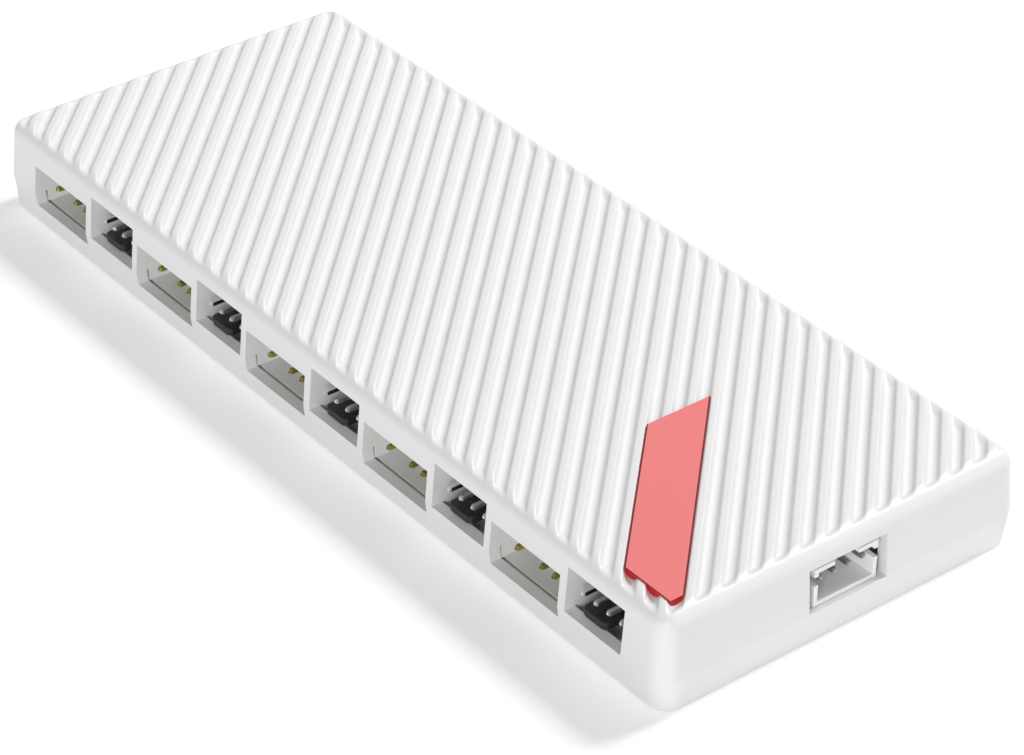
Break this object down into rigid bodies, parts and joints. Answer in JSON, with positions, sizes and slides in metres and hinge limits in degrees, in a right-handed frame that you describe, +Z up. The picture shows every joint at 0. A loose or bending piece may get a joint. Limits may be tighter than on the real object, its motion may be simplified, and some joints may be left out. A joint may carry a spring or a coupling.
{
  "type": "fan hub",
  "caption": "Flat white hub that feeds computer fans and their lights: diagonally ribbed case with socket pairs along one side and a power inlet at one end.",
  "frame": {"origin": "on the rest face, under the middle of the case", "axes": "+X along the case towards the power inlet's end, -Y out of the socket side, +Z up through the ribbed roof"},
  "size_m": [0.156, 0.062, 0.0151],
  "materials": {
    "shell_plastic": "fine moulded satin white",
    "tray_plastic": "fine moulded satin white",
    "badge_red": "smooth coloured inlay, darker at its cut edges",
    "board_white": "white solder mask",
    "header_white": "moulded nylon",
    "gold": "gold plated square pins",
    "header_black": "moulded nylon",
    "bright_tin": "bright tin plated square pins",
    "power_nylon": "moulded nylon, slightly warm white",
    "tin": "dull tin plated square pins",
    "screw_steel": "zinc plated",
    "chip_black": "moulded epoxy with tinned legs",
    "can_aluminium": "drawn can on a plastic base"
  },
  "bodies": {
    "root": {"top_shell": "shell_plastic", "bottom_tray": "tray_plastic", "badge": "badge_red", "circuit_board": "board_white", "argb_header_1": "header_white", "argb_header_2": "header_white", "argb_header_3": "header_white", "argb_header_4": "header_white", "argb_header_5": "header_white", "argb_pins_1": "gold", "argb_pins_2": "gold", "argb_pins_3": "gold", "argb_pins_4": "gold", "argb_pins_5": "gold", "pwm_header_1": "header_black", "pwm_header_2": "header_black", "pwm_header_3": "header_black", "pwm_header_4": "header_black", "pwm_header_5": "header_black", "pwm_pins_1": "bright_tin", "pwm_pins_2": "bright_tin", "pwm_pins_3": "bright_tin", "pwm_pins_4": "bright_tin", "pwm_pins_5": "bright_tin", "power_header": "power_nylon", "power_pins": "tin", "case_screws": "screw_steel", "controller_chip": "chip_black", "filter_capacitor_1": "can_aluminium", "filter_capacitor_2": "can_aluminium"}
  },
  "joints": []
}
